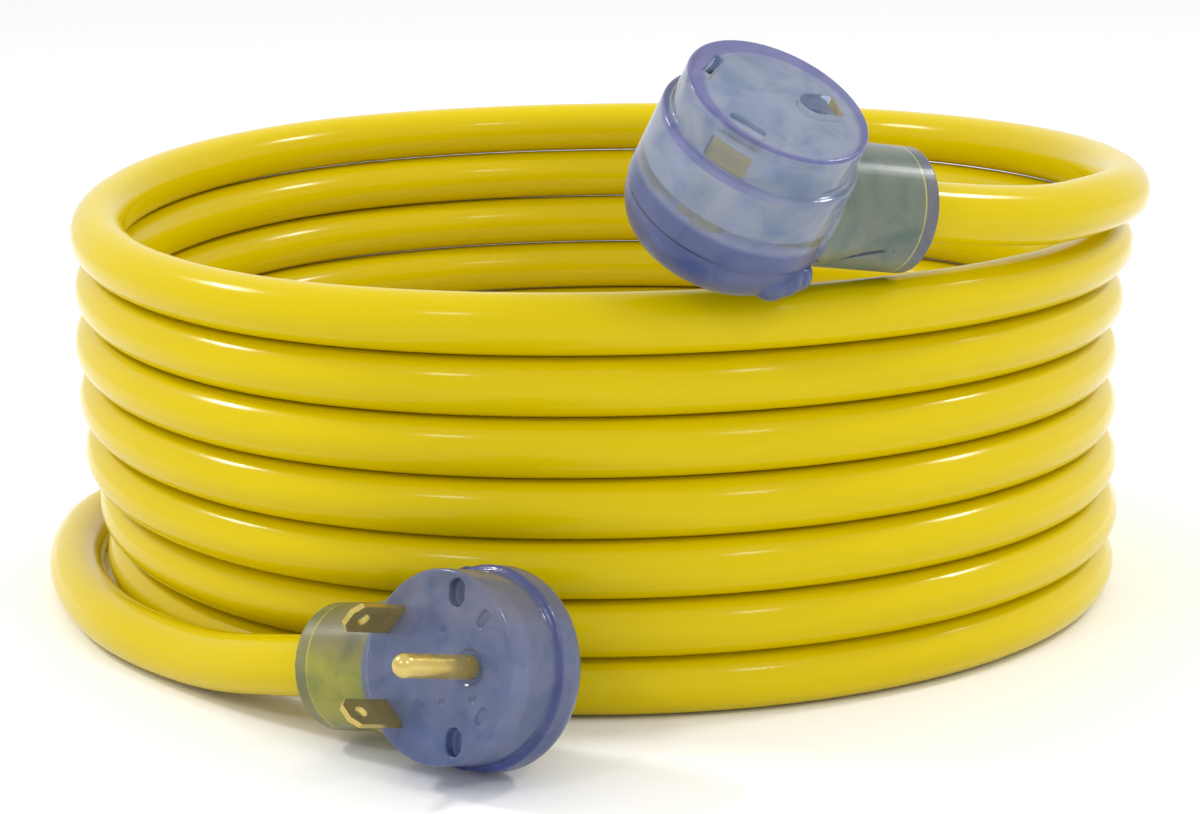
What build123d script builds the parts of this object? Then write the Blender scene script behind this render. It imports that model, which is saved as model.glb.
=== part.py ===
from build123d import *
import os
from math import cos, pi, radians, sin, tan

# A 30 A, 25 ft shore power cord, coiled for storage. A right-angle plug with two flat blades and a round
# ground pin is moulded on one end and a right-angle connector on the other.
# Millimetres, +Z up. The origin is on the floor, at the middle of the footprint.

# ---- cord -------------------------------------------------------------------------------------------
CORD_D = 17.0  # jacket of a 10 AWG, three-conductor cord
CORD_R = CORD_D / 2
JACKET_BORE_R = 5.7
INSULATION_R = 2.6
COPPER_R = 1.475
LAY_R = 3.05  # from the cord's middle to the middle of each conductor

# ---- coil: seven full layers, and one more turn on top that comes down at the left -------------------
COIL_X, COIL_Y = 5.0, 37.0
COIL_R = 157.9
LAYERS = 8
COIL_WEB = 12.0
RAMP_FROM, RAMP_TO = 119.0, 245.0  # degrees round the coil, from +X towards +Y
TAIL_JOINS = 110.0
TAIL_CLEAR_TO, TAIL_BESIDE_TO = 172.0, 252.0  # the bottom turn is missing, then has the tail beside it
TAIL_INSIDE_R = 156.6
TAIL_ROOM = 17.6

# ---- both ends --------------------------------------------------------------------------------------
NECK_R = 17.2
BEND_GAP = 3.7  # from the jacket's end to the bend where the conductors fan out
FAIR_U, FAIR_V, FAIR_INSET = 8.0, 24.0, 1.5  # where the fairing between head and neck starts
BLADE_U, BLADE_V = 14.8, 12.1  # middle of each blade from the face's middle, along and across the neck
BLADE_TURN = 45.0
BLADE_W, BLADE_T = 9.0, 1.6
PIN_U, PIN_R = 11.0, 3.15
EDGE = 1.0
BARREL_R, BARREL_L = 2.7, 7.0

# ---- plug: Z out of the face, X down the neck, the origin on the head's axis --------------------------
PLUG_AT = (COIL_X - 26.5, COIL_Y - 193.6, 25.8)
PLUG_HEADING, PLUG_LIFT, PLUG_ROLL = -131.0, 14.5, 9.8
PLUG_FLANGE_R, PLUG_FLANGE_W = 26.9, 8.0
PLUG_FACE_R, PLUG_FACE_W = 25.2, 25.4
PLUG_DOME, PLUG_DOME_W = 11.0, 2.0
PLUG_NECK_W, PLUG_NECK_L = 8.05, 51.3
PLUG_GRIP = 22.0  # length of jacket held inside the neck
PLUG_FAIR_END = 36.0
PLUG_INSERT_R, PLUG_INSERT_W, PLUG_INSERT_H = 20.8, 14.4, 7.0
BLADE_OUT, PIN_OUT = 17.4, 26.5
BLADE_CLIP = 2.2
BLADE_HOLE_R, BLADE_HOLE_DOWN = 1.7, 5.2
PIN_SHANK_R, PIN_TIP_R = 2.9, 2.7
PIN_RING_R, PIN_RING_H = 4.7, 0.5  # a shallow ring in the face, round the foot of the pin

# ---- connector: Z out of the face, X down the neck, the origin in the middle of the face --------------
SOCKET_AT = (COIL_X + 47.1, COIL_Y - 178.4, 171.6)
SOCKET_HEADING, SOCKET_LIFT, SOCKET_ROLL = -48.2, 55.5, 164.2
SOCKET_FACE_R, SOCKET_FACE_H = 25.4, 11.4
SOCKET_BODY_R, SOCKET_SEAM_W = 27.6, -36.0
SOCKET_DOME, SOCKET_FLAT_R = 14.0, 16.0
SOCKET_NECK_W, SOCKET_NECK_L = -31.7, 55.0
SOCKET_GRIP = 27.0
SOCKET_FAIR_END, SOCKET_FAIR_H = 38.0, 14.0
SOCKET_INSERT_R, SOCKET_CAP, SOCKET_INSERT_W = 22.8, 4.4, -27.0
CONTACT_W, CONTACT_T, CONTACT_TOP = 11.2, 4.8, -5.4
SLOT_W, SLOT_T = 10.2, 2.4
SPRING_W, SPRING_T = 9.4, 1.8
GROUND_MOUTH_R, GROUND_MOUTH_L = 4.3, 7.0  # a round mouth, squared off on the neck's side
GROUND_BORE_R, GROUND_TUBE_R = 3.3, 4.6
GROUND_TOP, GROUND_FLOOR, GROUND_FOOT, GROUND_POST_R = -7.0, -23.5, -25.0, 2.4


def end_plane(place, heading, lift, roll):
    """A plane at a moulded end: Z along the face's axis, X down the neck."""
    h, e, r = radians(heading), radians(lift), radians(roll)
    out = Vector(cos(e) * cos(h), cos(e) * sin(h), sin(e))
    level = Vector(sin(h), -cos(h), 0)
    return Plane(origin=place, x_dir=level * cos(r) + out.cross(level) * sin(r), z_dir=out)


def across_neck(end, u, w):
    """A plane square to the neck, u along it from the head's axis, with X along the face's axis."""
    middle = end.from_local_coords((u, 0, w))
    return Plane(origin=middle, x_dir=end.z_dir, z_dir=end.x_dir)


def facing(end, u, v, w):
    """A plane parallel to an end's face, X down the neck, at a point in that end's own coordinates."""
    return Plane(origin=end.from_local_coords((u, v, w)), x_dir=end.x_dir, z_dir=end.z_dir)


def profile_plane(end):
    """The plane through the head's axis and neck: X is the radius and Y the height towards the face."""
    return Plane(origin=end.origin, x_dir=end.x_dir, z_dir=-end.y_dir)


def place(part, label):
    part.label = label
    export_step(part, f"parts/{label}.step")


def rounded_path(points, name):
    """Straight runs joined by arcs as large as the runs allow."""
    points = [Vector(*p) for p in points]
    runs = [b - a for a, b in zip(points, points[1:])]
    radii = []
    for before, after in zip(runs, runs[1:]):
        turn = before.get_angle(after)
        radii.append(0.45 * min(before.length, after.length) / tan(radians(turn / 2)))
    print(name, "runs", [round(r.length) for r in runs], "radii", [round(r) for r in radii])
    return FilletPolyline(*points, radius=radii)


def cord_tube(points, label):
    """The plain outside of one free stretch of cord."""
    with BuildPart() as tube:
        with BuildLine() as path:
            rounded_path(points, label)
        route = path.wire()
        with BuildSketch(Plane(origin=route @ 0, z_dir=route % 0)):
            Circle(CORD_R)
        sweep(path=route)
    expected = pi * CORD_R**2 * route.length
    print(label, "length", round(route.length, 1), "volume share", round(tube.part.volume / expected, 4))
    return tube.part


def ring_point(angle, radius, z):
    """A point by its angle round the coil."""
    return (COIL_X + radius * cos(radians(angle)), COIL_Y + radius * sin(radians(angle)), z)


def sector(start, end, reach):
    """Draws a wedge of the coil, seen from above, as a closed outline from its axis."""
    corners = [(0, 0)]
    steps = 4
    for i in range(steps + 1):
        a = radians(start + (end - start) * i / steps)
        corners.append((reach * cos(a), reach * sin(a)))
    Polyline(*corners, close=True)


os.makedirs("parts", exist_ok=True)
plug = end_plane(PLUG_AT, PLUG_HEADING, PLUG_LIFT, PLUG_ROLL)
socket = end_plane(SOCKET_AT, SOCKET_HEADING, SOCKET_LIFT, SOCKET_ROLL)
plug_exit = across_neck(plug, PLUG_NECK_L, PLUG_NECK_W)
socket_exit = across_neck(socket, SOCKET_NECK_L, SOCKET_NECK_W)

# ---- the coiled cord: a scalloped ring, one bead for each layer ---------------------------------------
coil_axis = Axis((COIL_X, COIL_Y, 0), (0, 0, 1))
coil_section = Plane(origin=(COIL_X, COIL_Y, 0), x_dir=(1, 0, 0), z_dir=(0, -1, 0))
coil_top = LAYERS * CORD_D
ramp_start = ring_point(RAMP_FROM, COIL_R, coil_top)
ramp_end = ring_point(RAMP_TO, COIL_R, coil_top - CORD_D)
ramp_slope = (ramp_start[2] - ramp_end[2]) / (ramp_start[1] - ramp_end[1])
ramp_z = ramp_end[2] + ramp_slope * (COIL_Y - ramp_end[1])
ramp = Plane(origin=(COIL_X, COIL_Y, ramp_z), x_dir=(1, 0, 0), z_dir=(0, -ramp_slope, 1))

with BuildPart() as cord_coil:
    with BuildSketch(coil_section):
        with Locations((COIL_R, coil_top / 2)):
            Rectangle(COIL_WEB, coil_top - CORD_R)
        with Locations(*[(COIL_R, CORD_R + CORD_D * i) for i in range(LAYERS)]):
            Circle(CORD_R)
    revolve(axis=coil_axis)
    # the top turn is missing over the front
    with BuildSketch(Plane(origin=(COIL_X, COIL_Y, coil_top - CORD_D))):
        with BuildLine():
            sector(RAMP_TO, 360, 2 * COIL_R)
        make_face()
    extrude(amount=2 * CORD_D, mode=Mode.SUBTRACT)
    # and comes down by one layer at the left
    with BuildSketch(ramp):
        with BuildLine():
            sector(RAMP_FROM, RAMP_TO + 2, 2 * COIL_R)
        make_face()
    extrude(amount=2 * CORD_D, mode=Mode.SUBTRACT)
    # the bottom turn leaves the coil at the back and runs outside it
    with BuildSketch(Plane(origin=(COIL_X, COIL_Y, 0))):
        with BuildLine():
            sector(TAIL_CLEAR_TO, TAIL_BESIDE_TO, 2 * COIL_R)
        make_face()
        Circle(TAIL_INSIDE_R, mode=Mode.SUBTRACT)
        with BuildLine():
            sector(TAIL_JOINS, TAIL_CLEAR_TO, 2 * COIL_R)
        make_face()
    extrude(amount=TAIL_ROOM, mode=Mode.SUBTRACT)
place(cord_coil.part, "cord_coil")

# ---- the two free stretches of cord -------------------------------------------------------------------
lead_points = [
    socket_exit.origin,
    socket_exit.origin + socket.x_dir * 42,
    ring_point(-28, 169.5, 130.3),
    ring_point(-13, 166.78, 128.4),
    ring_point(0, 162.5, 128.4),
]
place(cord_tube(lead_points, "cord_lead"), "cord_lead")

tail_points = [
    plug_exit.origin,
    plug_exit.origin + plug.x_dir * 28,
    (COIL_X - 114, COIL_Y - 127, 9.2),
    (COIL_X - 143, COIL_Y - 91, CORD_R),
    (COIL_X - 162, COIL_Y - 47, CORD_R),
    (COIL_X - 172.5, COIL_Y, CORD_R),
    (COIL_X - 174, COIL_Y + 52, CORD_R),
    (COIL_X - 150, COIL_Y + 97, CORD_R),
    (COIL_X - 110.39, COIL_Y + 127.86, CORD_R),
    ring_point(TAIL_JOINS, COIL_R, CORD_R),
]
place(cord_tube(tail_points, "cord_tail"), "cord_tail")


# ---- conductors and jacket ends, the same way round in both necks ---------------------------------------
def jacket_end(end, neck_u, neck_w, grip):
    """The end of the outer jacket, gripped inside a neck."""
    with BuildPart() as piece:
        with BuildSketch(across_neck(end, neck_u - grip, neck_w)):
            Circle(CORD_R)
            Circle(JACKET_BORE_R, mode=Mode.SUBTRACT)
        extrude(amount=grip)
    return piece.part


def conductor_path(end, points, bare):
    """A conductor's middle line, from (u, v, w) points; its last bare millimetres run straight on."""
    places = [end.from_local_coords(p) for p in points]
    radii = []
    for a, b, c in zip(places, places[1:], places[2:]):
        turn = (b - a).get_angle(c - b)
        reach = min(0.45 * (c - b).length, BEND_GAP)
        radii.append(reach / tan(radians(turn / 2)))
    places[-1] += (places[-1] - places[-2]).normalized() * bare
    if radii:
        FilletPolyline(*places, radius=radii)
    else:
        Line(*places)


def wire(end, points, outer, inner=None, bare=0.0):
    """A round wire, or the sleeve round one, along a conductor's middle line."""
    with BuildPart() as piece:
        with BuildLine() as path:
            conductor_path(end, points, bare)
        route = path.wire()
        with BuildSketch(Plane(origin=route @ 0, z_dir=route % 0)):
            Circle(outer)
            if inner:
                Circle(inner, mode=Mode.SUBTRACT)
        sweep(path=route)
    return piece.part


def fairing(end_u):
    """Draws the outline that fills in between the head and its neck, seen from the face."""
    end_v = NECK_R - FAIR_INSET
    Polygon((FAIR_U, -FAIR_V), (end_u, -end_v), (end_u, end_v), (FAIR_U, FAIR_V), align=None)


def barrel_plane(end, side, bend_u, stand_u, w):
    """A plane at the middle of a blade's foot, facing along its crimp barrel to the conductor's bend."""
    stand = end.from_local_coords((stand_u, side * BLADE_V, w))
    bend = end.from_local_coords((bend_u, side * LAY_R * sin(radians(60)), w))
    return Plane(origin=stand, x_dir=end.z_dir, z_dir=bend - stand)


def side_route(end, side, neck_u, bend_u, stand_u, w):
    """A live conductor's route: straight in the jacket, and then fanned out to its barrel's mouth."""
    inside = LAY_R * sin(radians(60))
    barrel = barrel_plane(end, side, bend_u, stand_u, w)
    mouth = end.to_local_coords(barrel.origin + barrel.z_dir * BARREL_L)
    return [(neck_u, side * inside, w), (bend_u, side * inside, w), tuple(mouth)]


# ---- plug ---------------------------------------------------------------------------------------------
plug_side_w = PLUG_NECK_W - LAY_R / 2
plug_ground_w = PLUG_NECK_W + LAY_R
plug_bend_u = PLUG_NECK_L - PLUG_GRIP - BEND_GAP
plug_line = side_route(plug, 1, PLUG_NECK_L, plug_bend_u, BLADE_U, plug_side_w)
plug_neutral = side_route(plug, -1, PLUG_NECK_L, plug_bend_u, BLADE_U, plug_side_w)
plug_ground = [(PLUG_NECK_L, 0, plug_ground_w), (BARREL_L - PIN_U, 0, plug_ground_w)]


def blade(side, label):
    """A flat blade standing on its crimp barrel."""
    stand = facing(plug, BLADE_U, side * BLADE_V, plug_side_w)
    height = PLUG_FACE_W - plug_side_w + BLADE_OUT
    along = plug.y_dir * side * cos(radians(BLADE_TURN)) - plug.x_dir * sin(radians(BLADE_TURN))
    flat = Plane(origin=stand.origin, x_dir=along, z_dir=plug.z_dir)
    with BuildPart() as piece:
        with BuildSketch(flat):
            Rectangle(BLADE_W, BLADE_T)
        extrude(amount=height)
        tip = piece.edges().filter_by(lambda e: abs(e.length - BLADE_T) < 0.01)
        tip = tip.sort_by(Axis(stand.origin, plug.z_dir))[-2:]
        chamfer(tip, length=BLADE_CLIP)
        hole_at = stand.origin + plug.z_dir * (height - BLADE_HOLE_DOWN)
        with BuildSketch(Plane(origin=hole_at, x_dir=plug.z_dir, z_dir=flat.y_dir)):
            Circle(BLADE_HOLE_R)
        extrude(amount=BLADE_T, both=True, mode=Mode.SUBTRACT)
        barrel = barrel_plane(plug, side, plug_bend_u, BLADE_U, plug_side_w)
        with BuildSketch(barrel):
            Circle(BARREL_R)
        extrude(amount=BARREL_L)
        with BuildSketch(barrel):
            Circle(COPPER_R)
        extrude(amount=BARREL_L, mode=Mode.SUBTRACT)
    place(piece.part, label)
    return piece.part


line_blade = blade(1, "plug_line_blade")
neutral_blade = blade(-1, "plug_neutral_blade")

with BuildPart() as ground_pin:
    pin_foot = facing(plug, -PIN_U, 0, plug_ground_w - PIN_R)
    with BuildSketch(pin_foot):
        Circle(PIN_SHANK_R)
    extrude(amount=PLUG_FACE_W - plug_ground_w + PIN_R)
    with BuildSketch(facing(plug, -PIN_U, 0, PLUG_FACE_W)):
        Circle(PIN_R)
    extrude(amount=PIN_OUT)
    fillet(ground_pin.faces().sort_by(Axis(pin_foot.origin, plug.z_dir))[-1].edges(), radius=PIN_TIP_R)
    with BuildSketch(across_neck(plug, -PIN_U, plug_ground_w)):
        Circle(BARREL_R)
    extrude(amount=BARREL_L)
    with BuildSketch(across_neck(plug, -PIN_U, plug_ground_w)):
        Circle(COPPER_R)
    extrude(amount=BARREL_L, mode=Mode.SUBTRACT)
place(ground_pin.part, "plug_ground_pin")

plug_jacket = jacket_end(plug, PLUG_NECK_L, PLUG_NECK_W, PLUG_GRIP)
place(plug_jacket, "plug_jacket_end")
plug_pieces = [line_blade, neutral_blade, ground_pin.part, plug_jacket]
for name, route in (("line", plug_line), ("neutral", plug_neutral), ("ground", plug_ground)):
    sleeve = wire(plug, route, INSULATION_R, COPPER_R)
    copper = wire(plug, route, COPPER_R, bare=BARREL_L)
    place(sleeve, f"plug_{name}_insulation")
    place(copper, f"plug_{name}_conductor")
    plug_pieces += [sleeve, copper]

with BuildPart() as plug_insert:
    with BuildSketch(plug.offset(PLUG_INSERT_W)):
        Circle(PLUG_INSERT_R)
    extrude(amount=PLUG_INSERT_H)
    for piece in (line_blade, neutral_blade, ground_pin.part):
        add(piece, mode=Mode.SUBTRACT)
place(plug_insert.part, "plug_insert")
plug_pieces.append(plug_insert.part)

with BuildPart() as plug_body:
    with BuildSketch(profile_plane(plug)):
        with BuildLine():
            EllipticalCenterArc((0, PLUG_DOME_W), PLUG_FLANGE_R, PLUG_DOME, start_angle=270, arc_size=90)
            Polyline(
                (PLUG_FLANGE_R, PLUG_DOME_W),
                (PLUG_FLANGE_R, PLUG_FLANGE_W - EDGE),
                (PLUG_FLANGE_R - EDGE, PLUG_FLANGE_W),
                (PLUG_FACE_R, PLUG_FLANGE_W),
                (PLUG_FACE_R, PLUG_FACE_W - EDGE),
                (PLUG_FACE_R - EDGE, PLUG_FACE_W),
                (0, PLUG_FACE_W),
                (0, PLUG_DOME_W - PLUG_DOME),
            )
        make_face()
    revolve(axis=Axis(plug.origin, plug.z_dir))
    with BuildSketch(across_neck(plug, 0, PLUG_NECK_W)):
        Circle(NECK_R)
    extrude(amount=PLUG_NECK_L)
    with BuildSketch(plug):
        fairing(PLUG_FAIR_END)
    extrude(amount=2 * PLUG_NECK_W)
    with BuildSketch(across_neck(plug, PLUG_NECK_L - PLUG_GRIP, PLUG_NECK_W)):
        Circle(CORD_R)
    extrude(amount=PLUG_GRIP, mode=Mode.SUBTRACT)
    with BuildSketch(facing(plug, -PIN_U, 0, PLUG_FACE_W)):
        Circle(PIN_RING_R)
    extrude(amount=-PIN_RING_H, mode=Mode.SUBTRACT)
    for piece in plug_pieces:
        add(piece, mode=Mode.SUBTRACT)
place(plug_body.part, "plug_body")


# ---- connector ----------------------------------------------------------------------------------------
socket_side_w = SOCKET_NECK_W + LAY_R / 2
socket_ground_w = SOCKET_NECK_W - LAY_R
contact_u = -BLADE_U
socket_bend_u = SOCKET_NECK_L - SOCKET_GRIP - BEND_GAP
socket_line = side_route(socket, 1, SOCKET_NECK_L, socket_bend_u, contact_u, socket_side_w)
socket_neutral = side_route(socket, -1, SOCKET_NECK_L, socket_bend_u, contact_u, socket_side_w)
socket_ground = [(SOCKET_NECK_L, 0, socket_ground_w), (PIN_U + BARREL_L, 0, socket_ground_w)]


def blade_plane(side, w):
    """A plane at height w over one contact, with X along the blade's width."""
    middle = socket.from_local_coords((contact_u, side * BLADE_V, w))
    along = socket.x_dir * sin(radians(BLADE_TURN)) + socket.y_dir * side * cos(radians(BLADE_TURN))
    return Plane(origin=middle, x_dir=along, z_dir=socket.z_dir)


def contact(side, label):
    """A sprung brass contact: two leaves joined at the foot, standing on a crimp barrel."""
    with BuildPart() as piece:
        with BuildSketch(blade_plane(side, socket_side_w)):
            Rectangle(CONTACT_W, CONTACT_T)
        extrude(amount=CONTACT_TOP - socket_side_w)
        with BuildSketch(blade_plane(side, socket_side_w + 2 * BARREL_R)):
            Rectangle(SPRING_W, SPRING_T)
        extrude(amount=CONTACT_TOP - socket_side_w, mode=Mode.SUBTRACT)
        barrel = barrel_plane(socket, side, socket_bend_u, contact_u, socket_side_w)
        with BuildSketch(barrel):
            Circle(BARREL_R)
        extrude(amount=BARREL_L)
        with BuildSketch(barrel):
            Circle(COPPER_R)
        extrude(amount=BARREL_L, both=True, mode=Mode.SUBTRACT)
    place(piece.part, label)
    return piece.part


line_contact = contact(1, "socket_line_contact")
neutral_contact = contact(-1, "socket_neutral_contact")

with BuildPart() as ground_contact:
    with BuildSketch(facing(socket, PIN_U, 0, socket_ground_w)):
        Circle(GROUND_POST_R)
    extrude(amount=GROUND_FOOT - socket_ground_w)
    with BuildSketch(facing(socket, PIN_U, 0, GROUND_FOOT)):
        Circle(GROUND_TUBE_R)
    extrude(amount=GROUND_TOP - GROUND_FOOT)
    with BuildSketch(facing(socket, PIN_U, 0, GROUND_TOP)):
        Circle(GROUND_BORE_R)
    extrude(amount=GROUND_FLOOR - GROUND_TOP, mode=Mode.SUBTRACT)
    with BuildSketch(across_neck(socket, PIN_U, socket_ground_w)):
        Circle(BARREL_R)
    extrude(amount=BARREL_L)
    with BuildSketch(across_neck(socket, PIN_U, socket_ground_w)):
        Circle(COPPER_R)
    extrude(amount=BARREL_L, mode=Mode.SUBTRACT)
place(ground_contact.part, "socket_ground_contact")

socket_pieces = [jacket_end(socket, SOCKET_NECK_L, SOCKET_NECK_W, SOCKET_GRIP)]
place(socket_pieces[-1], "socket_jacket_end")
for name, route in (("line", socket_line), ("neutral", socket_neutral), ("ground", socket_ground)):
    sleeve = wire(socket, route, INSULATION_R, COPPER_R)
    copper = wire(socket, route, COPPER_R, bare=BARREL_L)
    place(sleeve, f"socket_{name}_insulation")
    place(copper, f"socket_{name}_conductor")
    socket_pieces += [sleeve, copper]


def ground_mouth():
    """Draws the ground hole's mouth, about the pin's axis."""
    Circle(GROUND_MOUTH_R)
    with Locations((GROUND_MOUTH_L / 2, 0)):
        Rectangle(GROUND_MOUTH_L, 2 * GROUND_MOUTH_R)


contacts = [line_contact, neutral_contact, ground_contact.part]
with BuildPart() as openings:
    for side in (1, -1):
        with BuildSketch(blade_plane(side, CONTACT_TOP)):
            Rectangle(SLOT_W, SLOT_T)
        extrude(amount=-CONTACT_TOP)
    with BuildSketch(facing(socket, PIN_U, 0, GROUND_TOP)):
        ground_mouth()
    extrude(amount=-GROUND_TOP)

with BuildPart() as socket_insert:
    with BuildSketch(socket.offset(SOCKET_INSERT_W)):
        Circle(SOCKET_INSERT_R)
    extrude(amount=-SOCKET_CAP - SOCKET_INSERT_W)
    add(openings.part, mode=Mode.SUBTRACT)
    for side in (1, -1):
        with BuildSketch(blade_plane(side, CONTACT_TOP)):
            Rectangle(CONTACT_W, CONTACT_T)
        extrude(amount=SOCKET_INSERT_W, mode=Mode.SUBTRACT)
    with BuildSketch(facing(socket, PIN_U, 0, GROUND_TOP)):
        Circle(GROUND_TUBE_R)
    extrude(amount=GROUND_FOOT - GROUND_TOP, mode=Mode.SUBTRACT)
    with BuildSketch(facing(socket, PIN_U, 0, GROUND_FOOT)):
        Circle(GROUND_POST_R)
    extrude(amount=SOCKET_INSERT_W, mode=Mode.SUBTRACT)
place(socket_insert.part, "socket_insert")

with BuildPart() as socket_body:
    with BuildSketch(profile_plane(socket)):
        with BuildLine():
            EllipticalCenterArc(
                (SOCKET_FLAT_R, SOCKET_SEAM_W),
                SOCKET_BODY_R - SOCKET_FLAT_R,
                SOCKET_DOME,
                start_angle=270,
                arc_size=90,
            )
            Polyline(
                (SOCKET_BODY_R, SOCKET_SEAM_W),
                (SOCKET_BODY_R, -SOCKET_FACE_H - EDGE),
                (SOCKET_BODY_R - EDGE, -SOCKET_FACE_H),
                (SOCKET_FACE_R, -SOCKET_FACE_H),
                (SOCKET_FACE_R, -EDGE),
                (SOCKET_FACE_R - EDGE, 0),
                (0, 0),
                (0, SOCKET_SEAM_W - SOCKET_DOME),
                (SOCKET_FLAT_R, SOCKET_SEAM_W - SOCKET_DOME),
            )
        make_face()
    revolve(axis=Axis(socket.origin, socket.z_dir))
    with BuildSketch(across_neck(socket, 0, SOCKET_NECK_W)):
        Circle(NECK_R)
    extrude(amount=SOCKET_NECK_L)
    with BuildSketch(socket.offset(SOCKET_NECK_W - SOCKET_FAIR_H / 2)):
        fairing(SOCKET_FAIR_END)
    extrude(amount=SOCKET_FAIR_H)
    with BuildSketch(socket.offset(SOCKET_INSERT_W)):
        Circle(SOCKET_INSERT_R)
    extrude(amount=-SOCKET_CAP - SOCKET_INSERT_W, mode=Mode.SUBTRACT)
    add(openings.part, mode=Mode.SUBTRACT)
    with BuildSketch(across_neck(socket, SOCKET_NECK_L - SOCKET_GRIP, SOCKET_NECK_W)):
        Circle(CORD_R)
    extrude(amount=SOCKET_GRIP, mode=Mode.SUBTRACT)
    for piece in contacts + socket_pieces:
        add(piece, mode=Mode.SUBTRACT)
place(socket_body.part, "socket_body")
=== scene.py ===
from math import atan2, cos, degrees, pi, radians, sin

import bmesh
import bpy
from mathutils import Matrix, Vector


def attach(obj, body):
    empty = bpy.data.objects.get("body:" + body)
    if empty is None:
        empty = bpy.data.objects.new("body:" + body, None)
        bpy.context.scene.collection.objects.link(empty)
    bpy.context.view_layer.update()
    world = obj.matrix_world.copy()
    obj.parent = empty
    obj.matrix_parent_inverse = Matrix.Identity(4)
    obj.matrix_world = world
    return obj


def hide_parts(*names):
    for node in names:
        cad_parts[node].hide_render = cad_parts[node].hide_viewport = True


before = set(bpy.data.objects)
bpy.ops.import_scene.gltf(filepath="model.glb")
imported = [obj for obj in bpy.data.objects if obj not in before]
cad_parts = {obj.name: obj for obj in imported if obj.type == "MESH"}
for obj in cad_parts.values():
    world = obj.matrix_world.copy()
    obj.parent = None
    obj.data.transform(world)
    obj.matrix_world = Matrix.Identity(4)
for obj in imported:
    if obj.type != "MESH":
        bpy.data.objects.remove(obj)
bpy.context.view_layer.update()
MM = 0.001

# ---- camera -------------------------------------------------------------------------------------------
CAMERA_AT = (0.005, -0.8902, 0.2494)
LENS, SENSOR = 87.86, 36.0  # millimetres
LOOKS_DOWN = 11.876  # degrees below level
CAMERA_ROLL = -0.0148  # radians

camera = bpy.data.objects.new("camera", bpy.data.cameras.new("camera"))
bpy.context.collection.objects.link(camera)
camera.data.lens = LENS
camera.data.sensor_width = SENSOR
camera.data.clip_start = 0.05
camera.matrix_world = (
    Matrix.Translation(CAMERA_AT)
    @ Matrix.Rotation(radians(90 - LOOKS_DOWN), 4, "X")
    @ Matrix.Rotation(CAMERA_ROLL, 4, "Z")
)
bpy.context.scene.camera = camera
bpy.context.scene.view_settings.view_transform = "Standard"

# ---- where things are, as in the CAD ------------------------------------------------------------------
COIL_X, COIL_Y, COIL_R = 5.0, 37.0, 157.9
CORD_D = 17.0
TURNS_END = 7 * 360 + 110  # degrees round the coil, from +X, where the tail leaves it
TOP_Z = 127.4
RAMP_FROM, RAMP_TO = 119.0, 245.0  # degrees round each turn between which it comes down by a layer
RIGHT_OFFSETS = [4.6, 2.3, -0.5, -2.0, -2.0, -1.7, -1.0, -2.0]  # each turn's radius less the coil's
LEFT_OFFSETS = [-0.6, -1.2, -0.4, -1.0, -2.1, -5.9, -7.5, -7.5]
COIL_STEP = 20
NURBS_CUT = 0.985  # the curve's radius as a share of its control points', at that step
LEAD_STRAIGHT, TAIL_STRAIGHT = 42, 28  # millimetres of straight cord out of each neck


def end_frame(place, heading, lift, roll):
    """Local millimetres to the row frame in metres: Z out of an end's face, X down its neck."""
    h, e, r = radians(heading), radians(lift), radians(roll)
    out = Vector((cos(e) * cos(h), cos(e) * sin(h), sin(e)))
    level = Vector((sin(h), -cos(h), 0))
    along = level * cos(r) + out.cross(level) * sin(r)
    turn = Matrix((along, out.cross(along), out)).transposed().to_4x4()
    return Matrix.Translation(Vector(place) * MM) @ turn @ Matrix.Scale(MM, 4)


PLUG = end_frame((COIL_X - 26.5, COIL_Y - 193.6, 25.8), -131, 14.5, 9.8)
SOCKET = end_frame((COIL_X + 47.1, COIL_Y - 178.4, 171.6), -48.2, 55.5, 164.2)
PLUG_NECK_W, PLUG_NECK_L = 8.05, 51.3
SOCKET_NECK_W, SOCKET_NECK_L = -31.7, 55.0


def ring_point(angle, radius, z):
    a = radians(angle)
    return Vector((COIL_X + radius * cos(a), COIL_Y + radius * sin(a), z)) * MM


def coil_point(angle):
    """A control point of the coiled cord, angle degrees along it."""
    turn, within = divmod(angle, 360)
    turn = int(turn)
    drop = min(max((within - RAMP_FROM) / (RAMP_TO - RAMP_FROM), 0), 1)
    drop = drop * drop * (3 - 2 * drop)
    z = max(TOP_Z - CORD_D * (turn + drop), CORD_D / 2)
    share = (1 - cos(radians(within))) / 2
    if within < 180:
        offset = RIGHT_OFFSETS[turn] * (1 - share) + LEFT_OFFSETS[turn] * share
    else:
        after = RIGHT_OFFSETS[min(turn + 1, len(RIGHT_OFFSETS) - 1)]
        offset = after * (1 - share) + LEFT_OFFSETS[turn] * share
    return ring_point(within, (COIL_R + offset) / NURBS_CUT, z)


# ---- the cord -----------------------------------------------------------------------------------------
socket_exit = SOCKET @ Vector((SOCKET_NECK_L, 0, SOCKET_NECK_W))
plug_exit = PLUG @ Vector((PLUG_NECK_L, 0, PLUG_NECK_W))
route = [
    socket_exit,
    SOCKET @ Vector((SOCKET_NECK_L + LEAD_STRAIGHT, 0, SOCKET_NECK_W)),
    ring_point(-28, 169.5, 130.3),
    ring_point(-13, 166.78, 128.4),
]
route += [coil_point(angle) for angle in range(10, TURNS_END, COIL_STEP)]
tail = [
    (-110.39, 127.86, 8.5),
    (-150, 97, 8.5),
    (-174, 52, 8.5),
    (-172.5, 0, 8.5),
    (-162, -47, 8.5),
    (-143, -91, 8.5),
    (-114, -127, 9.2),
]
route += [Vector((COIL_X + x, COIL_Y + y, z)) * MM for x, y, z in tail]
route += [PLUG @ Vector((PLUG_NECK_L + TAIL_STRAIGHT, 0, PLUG_NECK_W)), plug_exit]

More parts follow.
